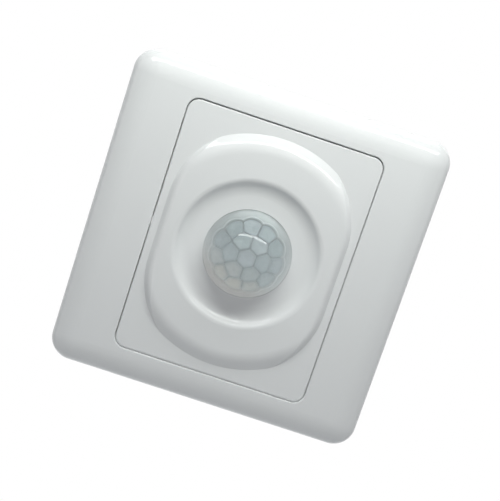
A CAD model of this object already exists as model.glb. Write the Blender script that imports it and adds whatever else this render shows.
import math

import bmesh
import bpy
from mathutils import Matrix, Vector


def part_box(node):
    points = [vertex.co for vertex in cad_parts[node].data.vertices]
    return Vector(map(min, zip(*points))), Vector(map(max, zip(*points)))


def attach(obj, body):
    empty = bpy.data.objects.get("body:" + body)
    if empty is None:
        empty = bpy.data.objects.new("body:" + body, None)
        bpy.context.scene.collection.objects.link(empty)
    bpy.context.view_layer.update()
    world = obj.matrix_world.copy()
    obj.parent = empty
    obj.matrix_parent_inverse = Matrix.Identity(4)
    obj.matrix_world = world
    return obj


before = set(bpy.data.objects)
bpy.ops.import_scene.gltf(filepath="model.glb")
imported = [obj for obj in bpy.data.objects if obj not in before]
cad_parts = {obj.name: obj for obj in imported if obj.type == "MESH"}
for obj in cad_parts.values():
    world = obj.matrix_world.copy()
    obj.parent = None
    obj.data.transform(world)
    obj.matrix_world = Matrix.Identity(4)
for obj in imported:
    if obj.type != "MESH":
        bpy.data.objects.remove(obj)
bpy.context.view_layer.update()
mm = 0.001
rgba = {"data_type": "RGBA"}
fullWhite = (1, 1, 1, 1)
print("frame loaded:", len(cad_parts), "nodes")


# Small helpers for the whole file
def toLinear(hexColour):
    parts = [int(hexColour[place:place + 2], 16) / 255 for place in (1, 3, 5)]
    linear = [part / 12.92 if part <= 0.04045 else ((part + 0.055) / 1.055) ** 2.4 for part in parts]
    return linear + [1.0]


def addNode(tree, kind, settings=None, inputs=None):
    node = tree.nodes.new("ShaderNode" + kind)
    for name, value in (settings or {}).items():
        setattr(node, name, value)
    for name, value in (inputs or {}).items():
        if isinstance(value, bpy.types.NodeSocket):
            tree.links.new(value, node.inputs[name])
        else:
            node.inputs[name].default_value = value
    return node


def calculate(tree, operation, first, second):
    return addNode(tree, "Math", {"operation": operation}, {0: first, 1: second}).outputs[0]


def mixColour(tree, share, first, second):
    return addNode(tree, "Mix", rgba, {0: share, 6: first, 7: second}).outputs[2]


def mixValue(tree, share, first, second):
    return addNode(tree, "Mix", None, {0: share, 2: first, 3: second}).outputs[0]


def mixShader(tree, share, first, second):
    return addNode(tree, "MixShader", None, {0: share, 1: first, 2: second}).outputs[0]


def noise(tree, way, size, detail):
    # One patch of the noise is about size millimetres across
    texture = addNode(tree, "TexNoise", None, {"Vector": way, "Scale": 1000 / size, "Detail": detail})
    return texture.outputs["Fac"]


def aroundValue(tree, share, middle, spread):
    # Noise stays mostly between 0.3 and 0.7
    return addNode(tree, "MapRange", None, {0: share, 1: 0.3, 2: 0.7, 3: middle - spread,
                                            4: middle + spread}).outputs[0]


def newMaterial(name):
    material = bpy.data.materials.new(name)
    material.use_nodes = True
    material.node_tree.nodes.clear()
    return material, material.node_tree


def setSurface(tree, shader):
    addNode(tree, "OutputMaterial", None, {"Surface": shader})


def setMaterial(piece, material):
    if piece.material_slots:
        for slot in piece.material_slots:
            slot.material = material
    else:
        piece.data.materials.append(material)


def addObject(name, data):
    piece = bpy.data.objects.new(name, data)
    bpy.context.scene.collection.objects.link(piece)
    return piece


def addMesh(name, mesh):
    data = bpy.data.meshes.new(name)
    mesh.to_mesh(data)
    mesh.free()
    return addObject(name, data)


def newPiece(name, mesh, body, material):
    bmesh.ops.recalc_face_normals(mesh, faces=mesh.faces)
    mesh.normal_update()
    piece = addMesh(name, mesh)
    piece.data.shade_smooth()
    setMaterial(piece, material)
    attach(piece, body)


# Camera: a little above the switch, to its left, and rolled
view = {
    "place": (-6.35 * mm, -239.28 * mm, 34.60 * mm),
    "right": (0.94911, 0.01773, 0.31444),
    "up": (-0.31362, 0.14442, 0.93850),
    "forward": (0.02877, 0.98936, -0.14263),
    "sensor": 36,
    "focal": 900 / 501 * 36,  # 900 pixels in a frame of 501
    "near": 0.01, "far": 20,
}


def addCamera():
    data = bpy.data.cameras.new("tableCamera")
    data.lens = view["focal"]
    data.sensor_width = view["sensor"]
    data.clip_start, data.clip_end = view["near"], view["far"]
    camera = addObject("tableCamera", data)
    backward = -Vector(view["forward"])
    turned = Matrix((view["right"], view["up"], backward)).transposed()
    camera.matrix_world = Matrix.Translation(view["place"]) @ turned.to_4x4()
    bpy.context.scene.camera = camera


addCamera()
bpy.context.scene.view_settings.view_transform = "Standard"
print("camera placed")


# Light: a long thin window high in front, seen only as highlights, a short tube near above, a wide pale
# ceiling, a soft fill from behind that the front never sees, and a pale room
lamps = {
    "windowStrip": {"place": (0, -0.232, 0.262), "size": (0.48, 0.030), "radiance": 10.0,
                    "colour": "#FDFFFF", "diffuse": False},
    "nearTube": {"place": (0, -0.0875, 0.115), "size": (0.13, 0.012), "radiance": 19.4,
                 "colour": "#FAFFF8", "glossy": False},
    "ceiling": {"place": (0, -0.20, 0.45), "size": (0.6, 0.25), "radiance": 2.85,
                "colour": "#FAFBFC", "glossy": False},
    "backFill": {"place": (-0.15, 0.60, 0.35), "size": (0.8, 0.6), "radiance": 1.6,
                 "colour": "#FCFCFC", "glossy": False},
}
room = {"above": "#FCFCFF", "below": "#000000", "strength": 0.32}


def addLamp(name, lamp):
    data = bpy.data.lights.new(name, "AREA")
    data.shape = "RECTANGLE"
    data.size, data.size_y = lamp["size"]
    data.energy = lamp["radiance"] * math.pi * lamp["size"][0] * lamp["size"][1]
    data.color = toLinear(lamp["colour"])[:3]
    piece = addObject(name, data)
    turned = (-Vector(lamp["place"])).to_track_quat("-Z", "Y").to_matrix()
    piece.matrix_world = Matrix.Translation(lamp["place"]) @ turned.to_4x4()
    piece.visible_glossy = lamp.get("glossy", True)
    piece.visible_diffuse = lamp.get("diffuse", True)


def seenDirectly(tree):
    # 1 for what the camera sees, also in mirrors and through clear pieces, and 0 for the light it gives
    path = addNode(tree, "LightPath").outputs
    either = calculate(tree, "MAXIMUM", path["Is Camera Ray"], path["Is Glossy Ray"])
    return calculate(tree, "MAXIMUM", either, path["Is Transmission Ray"])


def addRoom():
    world = bpy.data.worlds.new("paleRoom")
    world.use_nodes = True
    tree = world.node_tree
    tree.nodes.clear()
    way = addNode(tree, "TexCoord")
    split = addNode(tree, "SeparateXYZ", None, {0: way.outputs["Generated"]})
    height = addNode(tree, "MapRange", None, {0: split.outputs["Z"], 1: -1.0, 2: 1.0})
    colour = mixColour(tree, height.outputs[0], toLinear(room["below"]), toLinear(room["above"]))
    fill = addNode(tree, "Background", None, {"Color": colour, "Strength": room["strength"]})
    white = addNode(tree, "Background", None, {"Color": fullWhite, "Strength": 1.0})
    both = mixShader(tree, seenDirectly(tree), fill.outputs[0], white.outputs[0])
    addNode(tree, "OutputWorld", None, {"Surface": both})
    bpy.context.scene.world = world


# The floor is well below the switch, which hangs as it does on its wall
floorLook = {
    "drop": 0.20, "half": 1.5, "colour": "#E6E8E9", "lift": 0.45, "nearEdge": 0.10, "farEdge": 0.21,
}


def addFloor():
    mesh = bmesh.new()
    half = floorLook["half"]
    mesh.faces.new([mesh.verts.new((x * half, y * half, -floorLook["drop"]))
                    for x, y in ((-1, -1), (1, -1), (1, 1), (-1, 1))])
    floor = addMesh("floor", mesh)
    # Matt paper: takes the shadow, and fades to white further off
    material, tree = newMaterial("paleFloorPaper")
    way = addNode(tree, "TexCoord")
    flat = addNode(tree, "VectorMath", {"operation": "MULTIPLY"}, {0: way.outputs["Object"], 1: (1, 1, 0)})
    away = addNode(tree, "VectorMath", {"operation": "LENGTH"}, {0: flat.outputs[0]})
    far = addNode(tree, "MapRange", {"interpolation_type": "SMOOTHSTEP"},
                  {0: away.outputs["Value"], 1: floorLook["nearEdge"], 2: floorLook["farEdge"]})
    paper = addNode(tree, "BsdfDiffuse", None, {"Color": toLinear(floorLook["colour"])})
    lift = addNode(tree, "Emission", None, {"Color": fullWhite, "Strength": floorLook["lift"]})
    near = addNode(tree, "AddShader", None, {0: paper.outputs[0], 1: lift.outputs[0]})
    white = addNode(tree, "Emission", None, {"Color": fullWhite, "Strength": 1.0})
    seen = mixShader(tree, far.outputs[0], near.outputs[0], white.outputs[0])
    setSurface(tree, mixShader(tree, seenDirectly(tree), paper.outputs[0], seen))
    setMaterial(floor, material)


for lampName, lamp in lamps.items():
    addLamp(lampName, lamp)
addRoom()
addFloor()
print("light and floor placed")


# Finishes. Sizes are in millimetres, colours are sRGB. A region is a box in which the surface changes, and
# its stripes are given as axis, pitch and share of the pitch
def boxMask(tree, way, low, high):
    middle = [(start + end) / 2 * mm for start, end in zip(low, high)]
    half = [(end - start) / 2 * mm for start, end in zip(low, high)]
    away = addNode(tree, "VectorMath", {"operation": "SUBTRACT"}, {0: way, 1: middle})
    reach = addNode(tree, "VectorMath", {"operation": "ABSOLUTE"}, {0: away.outputs[0]})
    out = addNode(tree, "VectorMath", {"operation": "SUBTRACT"}, {0: reach.outputs[0], 1: half})
    split = addNode(tree, "SeparateXYZ", None, {0: out.outputs[0]})
    wide = calculate(tree, "MAXIMUM", split.outputs[0], split.outputs[1])
    return calculate(tree, "LESS_THAN", calculate(tree, "MAXIMUM", wide, split.outputs[2]), 0.0)


def stripeMask(tree, way, axis, pitch, share):
    split = addNode(tree, "SeparateXYZ", None, {0: way})
    wave = calculate(tree, "PINGPONG", split.outputs[axis], pitch * mm)
    return calculate(tree, "LESS_THAN", wave, pitch * share * mm)


def finish(look):
    material, tree = newMaterial(look["name"])
    way = addNode(tree, "TexCoord").outputs["Object"]
    brush = look.get("brush", (1, 1, 1))
    brushed = addNode(tree, "VectorMath", {"operation": "MULTIPLY"}, {0: way, 1: brush})
    patches = noise(tree, way, look["patch"], 3.0)
    grain = noise(tree, brushed.outputs[0], look["grain"], 2.0)
    colour = mixColour(tree, patches, toLinear(look["colour"]), toLinear(look["shade"]))
    rough = aroundValue(tree, grain, look["roughness"], look["spread"])
    metallic, glow = look.get("metallic", 0.0), 0.0
    for region in look.get("regions", ()):
        mask = boxMask(tree, way, region["low"], region["high"])
        if "stripes" in region:
            mask = calculate(tree, "MULTIPLY", mask, stripeMask(tree, way, *region["stripes"]))
        colour = mixColour(tree, mask, colour, toLinear(region["colour"]))
        rough = mixValue(tree, mask, rough, region["roughness"])
        metallic = mixValue(tree, mask, metallic, region.get("metallic", 0.0))
        if "glow" in region:
            glow = mixValue(tree, mask, glow, region["glow"])
    bump = addNode(tree, "Bump", None, {"Height": grain, "Distance": look["relief"] * mm, "Strength": 1.0})
    shader = addNode(tree, "BsdfPrincipled", None, {
        "Base Color": colour, "Roughness": rough, "Normal": bump.outputs[0], "Metallic": metallic,
        "IOR": look.get("ior", 1.5), "Coat Weight": look.get("coat", 0.0),
        "Coat Roughness": look.get("coatRoughness", 0.05), "Anisotropic": look.get("anisotropic", 0.0),
        "Emission Color": colour, "Emission Strength": glow})
    setSurface(tree, shader.outputs[0])
    return material


# Polished mould, so the face is smooth and mirrors the window as thin lines on its slopes. Thin walls pass
# light sideways into the groove round the panel: grey at its sides and below, dark only along its top
grooveWall = {"colour": "#EEF0F0", "roughness": 0.5, "glow": 0.075}
grooveBoxes = (
    ((-27.2, -6.6, -35), (-25.4, 26, 33.2)),
    ((25.4, -6.6, -35), (27.2, 26, 33.2)),
    ((-27.2, -6.6, -35), (27.2, 26, -33.2)),
)
faceAbs = {
    "name": "glossMouldedAbs", "colour": "#E9EBEB", "shade": "#E6E8E9", "patch": 45, "grain": 3.0,
    "relief": 0.0012, "roughness": 0.52, "spread": 0.02, "ior": 1.53, "coat": 0.75, "coatRoughness": 0.045,
    "regions": tuple(dict(grooveWall, low=low, high=high) for low, high in grooveBoxes),
}
# Spark-eroded mould, so the hidden side is matt with a fine even grain
baseAbs = {
    "name": "sparkErodedAbs", "colour": "#DCDEDD", "shade": "#D6D8D7", "patch": 30, "grain": 0.35,
    "relief": 0.02, "roughness": 0.62, "spread": 0.06, "ior": 1.53,
}
# The tub: the same grain, greyer, as regrind goes into it
housingAbs = {
    "name": "sparkErodedHousingAbs", "colour": "#D2D4D2", "shade": "#C9CCCA", "patch": 24, "grain": 0.4,
    "relief": 0.025, "roughness": 0.66, "spread": 0.06, "ior": 1.53,
}
# Polyamide disc and tubes without colour: milky and a little yellow
polyamide = {
    "name": "naturalPolyamide", "colour": "#E4E0D2", "shade": "#DCD7C7", "patch": 8, "grain": 0.3,
    "relief": 0.006, "roughness": 0.45, "spread": 0.05, "ior": 1.53,
}
# Glass-fibre board under green solder mask: tracks as paler lines on both faces, bare laminate on its edges
trackLines = {"colour": "#2F7A4B", "roughness": 0.33}
bareEdge = {"colour": "#B9A878", "roughness": 0.7}
boardLook = {
    "name": "solderMaskedLaminate", "colour": "#1E5B36", "shade": "#1A5030", "patch": 12, "grain": 0.5,
    "relief": 0.008, "roughness": 0.36, "spread": 0.05, "ior": 1.5,
    "regions": (
        dict(trackLines, low=(-18, -99, -24), high=(-3, 99, 24), stripes=(0, 1.3, 0.32)),
        dict(trackLines, low=(3, -99, -21), high=(19, 99, 22), stripes=(2, 1.6, 0.30)),
        dict(bareEdge, low=(-22.95, 2.65, -23.95), high=(-22.8, 12.55, 23.95)),
        dict(bareEdge, low=(22.8, 2.65, -23.95), high=(22.95, 12.55, 23.95)),
    ),
}
# Dip-tinned wire: bright, a little uneven
tinLook = {
    "name": "dipTinnedWire", "colour": "#C9C9C4", "shade": "#B5B5AF", "patch": 1.5, "grain": 0.5,
    "relief": 0.006, "roughness": 0.28, "spread": 0.06, "metallic": 1.0,
}
bareTin = {"colour": "#C9C9C4", "metallic": 1.0, "roughness": 0.3}
# The same wire in a moulded strip, which is black and satin
headerLook = dict(tinLook, name="tinnedPinsInStrip", regions=(
    {"low": (-6.4, 4.15, 19.9), "high": (6.4, 6.8, 22.8), "colour": "#17181A", "roughness": 0.45},
))
# Rolled steel with bright zinc plating: cold grey, faintly cloudy
zincLook = {
    "name": "brightZincPlatedSteel", "colour": "#BFC2C6", "shade": "#A9ADB2", "patch": 1.8, "grain": 0.4,
    "relief": 0.006, "roughness": 0.30, "spread": 0.07, "metallic": 1.0,
}
# Deep-drawn can with nickel plating: warm and smooth, with faint drawing marks along it
canLook = {
    "name": "nickelPlatedCan", "colour": "#C6BFB2", "shade": "#B7B0A3", "patch": 2.5, "grain": 0.6,
    "relief": 0.004, "roughness": 0.22, "spread": 0.05, "metallic": 1.0, "brush": (1, 0.15, 1),
}
# Coated silicon filter: nearly black with a polished face
filterLook = {
    "name": "coatedSiliconFilter", "colour": "#23252C", "shade": "#1C1E26", "patch": 3, "grain": 0.8,
    "relief": 0.001, "roughness": 0.10, "spread": 0.02, "ior": 1.9,
}
# Light cell: ceramic disc with its red-brown folded track, on tinned leads
lightCellLook = {
    "name": "coatedCeramicCell", "colour": "#D8B27C", "shade": "#CFA76F", "patch": 2, "grain": 0.3,
    "relief": 0.004, "roughness": 0.30, "spread": 0.05, "ior": 1.5,
    "regions": (
        {"low": (6.6, -2.4, -1.9), "high": (9.8, -2.2, 1.9), "stripes": (2, 0.42, 0.45),
         "colour": "#8A3B22", "roughness": 0.35},
        dict(bareTin, low=(5.0, -0.25, -3.0), high=(11.0, 6.0, 3.0)),
    ),
}
# Transfer-moulded epoxy on tinned legs: dark, finely matt, bright where the legs come out
resinSurface = {"colour": "#202224", "roughness": 0.55}
chipLook = dict(tinLook, name="mouldedEpoxyChip", regions=(
    dict(resinSurface, low=(-9.7, -1.25, -19.8), high=(9.7, 2.15, -13.4)),
))
triacLook = dict(tinLook, name="mouldedEpoxyPowerSwitch", regions=(
    dict(resinSurface, low=(-20.1, 13.75, -4.05), high=(-10.3, 18.2, 4.65)),
))
# The diodes also have a pale ring at one end
diodeLook = dict(tinLook, name="mouldedEpoxyDiodes", regions=(
    dict(resinSurface, low=(-6.5, 12.7, 2.05), high=(6.7, 15.6, 7.15)),
    {"low": (-6.5, 12.7, 5.9), "high": (6.7, 15.6, 6.5), "colour": "#C4C6C6", "roughness": 0.4},
))
# Lacquered carbon film on tinned wire: tan and glossy, with four colour rings
resistorRings = (
    (13.45, 16.95, "#D9C49A", 0.0), (13.9, 14.25, "#7A4A22", 0.0), (14.6, 14.95, "#26201D", 0.0),
    (15.3, 15.65, "#B0522A", 0.0), (16.2, 16.5, "#B8933D", 0.6),
)
resistorLook = dict(tinLook, name="lacqueredResistors", regions=tuple(
    {"low": (-9, 0.5, low), "high": (9, 2.5, high), "colour": colour, "metallic": metallic,
     "roughness": 0.3} for low, high, colour, metallic in resistorRings))
# Glass tube between plated caps: pale and clear-looking, with the fuse wire along it
fuseLook = dict(tinLook, name="glassTubeFuse", roughness=0.22, regions=(
    {"low": (-9.8, 12.9, -15.2), "high": (-4.2, 16.9, -11.2), "colour": "#C5D0CE", "roughness": 0.08},
    {"low": (-9.8, 12.9, -13.3), "high": (-4.2, 16.9, -13.1), "colour": "#6B6F70", "metallic": 0.3,
     "roughness": 0.3},
))
# Dipped epoxy disc: thick, round-edged and glossy, on tinned legs
varistorLook = {
    "name": "dippedEpoxyVaristor", "colour": "#1E4F96", "shade": "#1A4585", "patch": 4, "grain": 1.2,
    "relief": 0.02, "roughness": 0.24, "spread": 0.04, "ior": 1.55,
    "regions": (dict(bareTin, low=(5, 12.5, -13.5), high=(12, 13.35, -12)),),
}
# Moulded polyester box: satin, without a grain that shows
filmLook = {
    "name": "mouldedFilmBox", "colour": "#C7A43A", "shade": "#BC9931", "patch": 6, "grain": 0.3,
    "relief": 0.012, "roughness": 0.42, "spread": 0.05, "ior": 1.54,
}
# Shrink sleeve round an aluminium can: satin dark, with a pale stripe, and a bare end
sleeveEnd = {"colour": "#C8CACB", "metallic": 1.0, "roughness": 0.3}
sleeveStripe = {"colour": "#B9BFC4", "roughness": 0.35}
mainCapacitorLook = {
    "name": "sleevedMainCapacitor", "colour": "#1B2433", "shade": "#17202E", "patch": 5, "grain": 0.8,
    "relief": 0.006, "roughness": 0.34, "spread": 0.04, "ior": 1.5,
    "regions": (dict(sleeveStripe, low=(18.4, 12.5, 3.0), high=(19.8, 23.2, 6.2)),
                dict(sleeveEnd, low=(10.4, 23.36, 0.4), high=(18.8, 23.5, 8.8))),
}
timingCapacitorLook = dict(mainCapacitorLook, name="sleevedTimingCapacitors", regions=(
    dict(sleeveStripe, low=(-13.4, -1.9, 11.6), high=(-11.8, 2.6, 12.4)),
    dict(sleeveStripe, low=(11.8, -1.9, 11.6), high=(13.4, 2.6, 12.4)),
    dict(sleeveEnd, low=(-14.7, -2.2, 12.1), high=(14.7, -2.06, 16.3)),
))
# Folded sheet, brushed along its length: the highlight is drawn out across the marks
sinkLook = {
    "name": "brushedSheetAluminium", "colour": "#CDD0D2", "shade": "#BFC3C6", "patch": 9, "grain": 0.25,
    "relief": 0.006, "roughness": 0.34, "spread": 0.08, "metallic": 1.0, "brush": (1, 1, 0.04),
    "anisotropic": 0.4,
}
# Moulded polyester trimmer body: satin blue. Its nylon rotor is off-white and a little duller
trimmerLook = {
    "name": "mouldedTrimmerBody", "colour": "#1C4C93", "shade": "#184383", "patch": 4, "grain": 0.3,
    "relief": 0.006, "roughness": 0.36, "spread": 0.04, "ior": 1.54,
}
rotorLook = {
    "name": "mouldedNylonRotor", "colour": "#E2DFD3", "shade": "#DAD6C9", "patch": 3, "grain": 0.25,
    "relief": 0.006, "roughness": 0.46, "spread": 0.05, "ior": 1.53,
}
# Glass-filled polyamide: a little cloudy where the fibres come to the surface
terminalLook = {
    "name": "glassFilledPolyamide", "colour": "#2F7D57", "shade": "#286E4C", "patch": 3, "grain": 0.22,
    "relief": 0.012, "roughness": 0.48, "spread": 0.08, "ior": 1.54, "brush": (1, 0.4, 1),
}
# Stamped brass, slightly dull
brassLook = {
    "name": "stampedBrass", "colour": "#D3AE5F", "shade": "#C49C4B", "patch": 2, "grain": 0.3,
    "relief": 0.006, "roughness": 0.32, "spread": 0.06, "metallic": 1.0,
}
looks = {
    "face_frame": faceAbs, "sensor_panel": faceAbs, "lens_retainer": baseAbs, "mounting_base": baseAbs,
    "rear_housing": housingAbs, "sensor_board": boardLook, "power_board": boardLook,
    "header_pins": headerLook, "board_spacers": polyamide, "pir_spacer": polyamide,
    "housing_screws": zincLook, "panel_screws": zincLook, "pir_can": canLook, "pir_window": filterLook,
    "pir_leads": tinLook, "light_sensor": lightCellLook, "control_chip": chipLook, "triac": triacLook,
    "rectifier_diodes": diodeLook, "board_resistors": resistorLook, "fuse": fuseLook,
    "varistor": varistorLook, "film_capacitor": filmLook, "main_capacitor": mainCapacitorLook,
    "timing_capacitors": timingCapacitorLook, "triac_heatsink": sinkLook,
    "time_trimmer_body": trimmerLook, "lux_trimmer_body": trimmerLook,
    "time_trimmer_rotor": rotorLook, "lux_trimmer_rotor": rotorLook,
    "terminal_block": terminalLook, "terminal_contacts": brassLook,
    "terminal_screw_1": zincLook, "terminal_screw_2": zincLook, "terminal_screw_3": zincLook,
    "terminal_cage_1": zincLook, "terminal_cage_2": zincLook, "terminal_cage_3": zincLook,
}


def finishNodes():
    made = {}
    for name, look in looks.items():
        if look["name"] not in made:
            made[look["name"]] = finish(look)
        setMaterial(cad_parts[name], made[look["name"]])
    print("finishes:", len(made))


finishNodes()


# Lens: the clear shell is the solid of the frame, and its cells, rim zone and backing stand just inside it.
# Angles are in degrees from straight ahead, and each ring of cells has its angle and number
lens = {
    "radius": 12.0, "rings": ((0.0, 1), (24.6, 6), (44.5, 11)), "reach": 16.0, "end": 92.0,
    "bead": (0.10, 0.035, 0.02),  # height, and its place and width as shares of the way to the rim
    "roll": (0.12, 0.03),  # depth at the edge, and the share by which it ends
    "warm": (-0.425, -1.53, -0.25),  # share to the right, share upward, and start
    "lightWay": (0.1, 0, -1), "lightEnd": 1.0,  # way in which carried light rises, and its end
    "slot": "lens_polyethylene",
}
lensMiddle = Vector((0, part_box("fresnel_lens")[0][1] + lens["radius"] * mm, 0))


def sphereWay(lean, turn):
    return Vector((math.sin(lean) * math.cos(turn), -math.cos(lean), math.sin(lean) * math.sin(turn)))


def fullTurn(count):
    return [2 * math.pi * step / count for step in range(count)]


def warmShare(way):
    # Room light comes up warm from the lower left
    right, up, start = lens["warm"]
    return min(1.0, max(0.0, right * way.x + up * way.z + start))


def joinRows(mesh, rows):
    count = len(rows[0])
    for inner, outer in zip(rows, rows[1:]):
        for step in range(count):
            after = (step + 1) % count
            mesh.faces.new((inner[step], outer[step], outer[after], inner[after]))


# Cells: domed lenses with round corners, parted by fine seams. Each has stepped rings, a rolled edge, a
# shade of its own, and darkens toward its edge
cells = {
    "around": 64, "blend": 24, "gap": 0.08, "edge": 10.70, "crown": 11.08, "fall": 0.16,
    "grooves": 7, "grooveEnd": 0.93, "grooveStep": 0.022, "grooveSide": 0.004,
    "rolled": ((0.965, 10.88), (0.988, 10.70), (1.0, 10.60), (1.0, 10.20)),  # share of the way, radius
    "shadeTurn": 0.618, "darkFrom": 0.45, "darkGain": 2.4,
}


def cellEdge(aim, others, side):
    # Half-way to each neighbour, blended so that the corners of the cell are round
    limit, blend = math.radians(lens["reach"]), cells["blend"]
    total = limit ** -blend
    for other in others:
        toward = side.dot(other)
        if toward > 0:
            total += math.atan2(1 - aim.dot(other), toward) ** -blend
    return total ** (-1 / blend) - cells["gap"] / cells["edge"]


def cellProfile():
    profile = []
    width = cells["grooveEnd"] / cells["grooves"]
    for groove in range(cells["grooves"]):
        for share, step in ((width * groove + cells["grooveSide"], 0.0),
                            (width * (groove + 1) - cells["grooveSide"], cells["grooveStep"])):
            profile.append((share, cells["crown"] - cells["fall"] * share ** 2 - step))
    return profile + list(cells["rolled"])


def lensCells(material):
    mesh = bmesh.new()
    shade, warm, dark = (mesh.verts.layers.float.new(name) for name in ("shade", "warm", "dark"))
    aims = [sphereWay(math.radians(tilt), turn)
            for tilt, count in lens["rings"] for turn in fullTurn(count)]
    for number, aim in enumerate(aims):
        first = aim.orthogonal().normalized()
        second = aim.cross(first)
        others = [other for other in aims if other is not aim]
        sides = [first * math.cos(turn) + second * math.sin(turn) for turn in fullTurn(cells["around"])]
        edges = [cellEdge(aim, others, side) for side in sides]
        rows = []
        for share, radius in cellProfile():
            row = []
            for side, edge in zip(sides, edges):
                way = aim * math.cos(edge * share) + side * math.sin(edge * share)
                spot = mesh.verts.new(lensMiddle + way * radius * mm)
                spot[shade] = (number * cells["shadeTurn"]) % 1
                spot[warm] = warmShare(aim)
                spot[dark] = max(0.0, share - cells["darkFrom"]) ** 2 * cells["darkGain"]
                row.append(spot)
            rows.append(row)
        joinRows(mesh, rows)
        mesh.faces.new(rows[0])
        mesh.faces.new(list(reversed(rows[-1])))
    newPiece("lens_cells", mesh, "base", material)


def cellsOutline(turn):
    # Where the outer cells end, as scallops
    tilt, count = lens["rings"][-1]
    lean, limit = math.radians(tilt), math.radians(lens["reach"])
    away = (turn + math.pi / count) % (2 * math.pi / count) - math.pi / count
    ahead, across = math.cos(lean), math.sin(lean) * math.cos(away)
    return math.atan2(across, ahead) + math.acos(min(1.0, math.cos(limit) / math.hypot(ahead, across)))


# Shells: the milky band from the cells out to the rim, which steps down and then swells to meet the clear
# shell, and the backing behind the cells. Steps are angle and depth, the swell is two angles and a height
shells = {
    "around": 264, "sharpness": 6, "nearEdge": (0.0, 0.01, 0.02, 0.03, 0.04, 0.055, 0.07), "rows": 22,
}
lensBand = {
    "name": "lens_band", "outside": 11.38, "inside": 10.20, "start": cellsOutline,
    "steps": ((62.0, 0.05), (67.0, 0.05), (72.0, 0.04)), "swell": (59.0, 71.0, 0.60),
}
lensBacking = {
    "name": "lens_backing", "outside": 10.12, "inside": 9.72, "start": lambda turn: 0.0, "steps": (),
}


def outsideLift(share, degrees, shell):
    # A small bead runs along the waved edge, which rolls down, and further out comes the swell
    height, place, width = lens["bead"]
    depth, rollEnd = lens["roll"]
    bead = math.exp(-((share - place) / width) ** 2)
    lift = height * bead - depth * max(0.0, 1 - share / rollEnd) ** 2
    if "swell" not in shell:
        return lift, 0.0
    low, high, rise = shell["swell"]
    part = min(1.0, max(0.0, (degrees - low) / (high - low)))
    return lift + rise * part ** 2 * (3 - 2 * part), bead


def lensShell(material, shell):
    mesh = bmesh.new()
    shade, warm = (mesh.verts.layers.float.new(name) for name in ("shade", "warm"))
    near = shells["nearEdge"]
    far = [near[-1] + (1 - near[-1]) * step / shells["rows"] for step in range(1, shells["rows"] + 1)]
    shares, end = list(near) + far, math.radians(lens["end"])
    rows = []
    for radius, order in ((shell["outside"], shares), (shell["inside"], list(reversed(shares)))):
        for share in order:
            row = []
            for turn in fullTurn(shells["around"]):
                start = shell["start"](turn)
                lean = start + (end - start) * share
                degrees = math.degrees(lean)
                fall = sum(depth / (1 + math.exp(-(degrees - place) * shells["sharpness"]))
                           for place, depth in shell["steps"])
                outer = radius == shell["outside"]
                lift, bead = outsideLift(share, degrees, shell) if outer else (0.0, 0.0)
                way = sphereWay(lean, turn)
                spot = mesh.verts.new(lensMiddle + way * (radius - fall + lift) * mm)
                spot[shade] = bead
                spot[warm] = warmShare(way)
                row.append(spot)
            rows.append(row)
    joinRows(mesh, rows + rows[:1])
    newPiece(shell["name"], mesh, "base", material)


# Shell of high-density polyethylene: milky, with a polished outside that mirrors the window
shellLook = {
    "name": "polishedPolyethyleneShell", "haze": "#CBD0D3", "carried": "#F3F7F6", "cover": 0.28,
    "coverSpread": 0.02, "rimCover": 0.42, "rim": (0.40, 0.20), "passed": 0.5, "glow": (0.14, 0.31),
    "reach": 11.0, "gloss": 0.09, "ior": 1.51, "skin": 11.9, "patch": 6,
}
# Cells of the same material, moulded fine: grey-blue through the shell, each a little different
cellLook = {
    "name": "mouldedPolyethyleneCells", "colour": "#A1ADB1", "shade": "#99A9AB", "warm": "#A9A79E",
    "dark": "#7C898D", "glow": (0.05, 0.43), "reach": 9.5, "roughness": 0.30, "spread": 0.04,
    "relief": 0.004, "grain": 0.5, "ior": 1.51,
}
# The thicker rim zone is paler, and its bead catches the light
bandLook = {
    "name": "mouldedPolyethyleneRim", "colour": "#BEC5C5", "shade": "#EDF3F3", "warm": "#B6B4B1",
    "glow": (0.02, 0.31), "reach": 12.0, "roughness": 0.34, "spread": 0.04, "relief": 0.004, "grain": 0.6,
    "ior": 1.51,
}
# The shaded hollow behind the cells: grey, so the seams are darker than the cells
backLook = {
    "name": "shadeBehindCells", "colour": "#74827F", "warm": "#66696A", "glow": (0.0, 0.20), "reach": 9.5,
    "roughness": 0.6, "spread": 0.04, "relief": 0.004, "grain": 0.6, "ior": 1.51,
}


def carriedLight(tree, way, look):
    # The milky plastic carries light down from its lit top, so its lower half is never dark
    down = addNode(tree, "VectorMath", {"operation": "DOT_PRODUCT"}, {0: way, 1: lens["lightWay"]})
    dim, bright = look["glow"]
    return addNode(tree, "MapRange", {"interpolation_type": "SMOOTHSTEP"},
                   {0: down.outputs["Value"], 1: -look["reach"] * mm, 2: lens["lightEnd"] * mm, 3: dim,
                    4: bright}).outputs[0]


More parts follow.
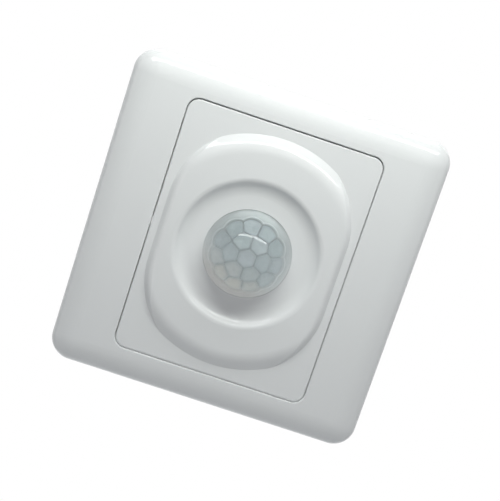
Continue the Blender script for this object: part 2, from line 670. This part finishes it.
def shellMaterial(look):
    material, tree = newMaterial(look["name"])
    way = addNode(tree, "TexCoord").outputs["Object"]
    thick = aroundValue(tree, noise(tree, way, look["patch"], 2.0), look["cover"], look["coverSpread"])
    offset = addNode(tree, "VectorMath", {"operation": "SUBTRACT"}, {0: way, 1: lensMiddle})
    outward = addNode(tree, "VectorMath", {"operation": "NORMALIZE"}, {0: offset.outputs[0]})
    ahead = addNode(tree, "VectorMath", {"operation": "DOT_PRODUCT"},
                    {0: outward.outputs[0], 1: (0, -1, 0)})
    cover = addNode(tree, "MapRange", {"interpolation_type": "SMOOTHSTEP"},
                    {0: ahead.outputs["Value"], 1: look["rim"][0], 2: look["rim"][1], 3: thick,
                     4: look["rimCover"]})
    away = addNode(tree, "VectorMath", {"operation": "LENGTH"}, {0: offset.outputs[0]})
    skin = calculate(tree, "GREATER_THAN", away.outputs["Value"], look["skin"] * mm)
    clear = addNode(tree, "BsdfTransparent").outputs[0]
    returned = addNode(tree, "BsdfDiffuse", None, {"Color": toLinear(look["haze"])})
    passed = addNode(tree, "BsdfTranslucent", None, {"Color": toLinear(look["haze"])})
    scattered = mixShader(tree, look["passed"], returned.outputs[0], passed.outputs[0])
    glow = addNode(tree, "Emission", None, {"Color": toLinear(look["carried"]),
                                            "Strength": carriedLight(tree, way, look)})
    milk = addNode(tree, "AddShader", None, {0: scattered, 1: glow.outputs[0]})
    veil = mixShader(tree, cover.outputs[0], clear, milk.outputs[0])
    mirror = addNode(tree, "BsdfGlossy", None, {"Color": fullWhite, "Roughness": look["gloss"]})
    edge = addNode(tree, "Fresnel", None, {"IOR": look["ior"]})
    outside = mixShader(tree, edge.outputs[0], veil, mirror.outputs[0])
    setSurface(tree, mixShader(tree, skin, clear, outside))
    return material


def cellMaterial(look):
    material, tree = newMaterial(look["name"])
    way = addNode(tree, "TexCoord").outputs["Object"]
    colour = toLinear(look["colour"])
    for shareName in ("shade", "warm", "dark"):
        if shareName in look:
            share = addNode(tree, "Attribute", {"attribute_name": shareName})
            colour = mixColour(tree, share.outputs["Fac"], colour, toLinear(look[shareName]))
    grain = noise(tree, way, look["grain"], 2.0)
    bump = addNode(tree, "Bump", None, {"Height": grain, "Distance": look["relief"] * mm})
    shader = addNode(tree, "BsdfPrincipled", None, {
        "Base Color": colour, "Roughness": aroundValue(tree, grain, look["roughness"], look["spread"]),
        "Normal": bump.outputs[0], "IOR": look["ior"], "Emission Color": colour,
        "Emission Strength": carriedLight(tree, way, look)})
    setSurface(tree, shader.outputs[0])
    return material


setMaterial(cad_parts["fresnel_lens"], shellMaterial(shellLook))
lensCells(cellMaterial(cellLook))
lensShell(cellMaterial(bandLook), lensBand)
lensShell(cellMaterial(backLook), lensBacking)
print("lens built")

print("sizes written")
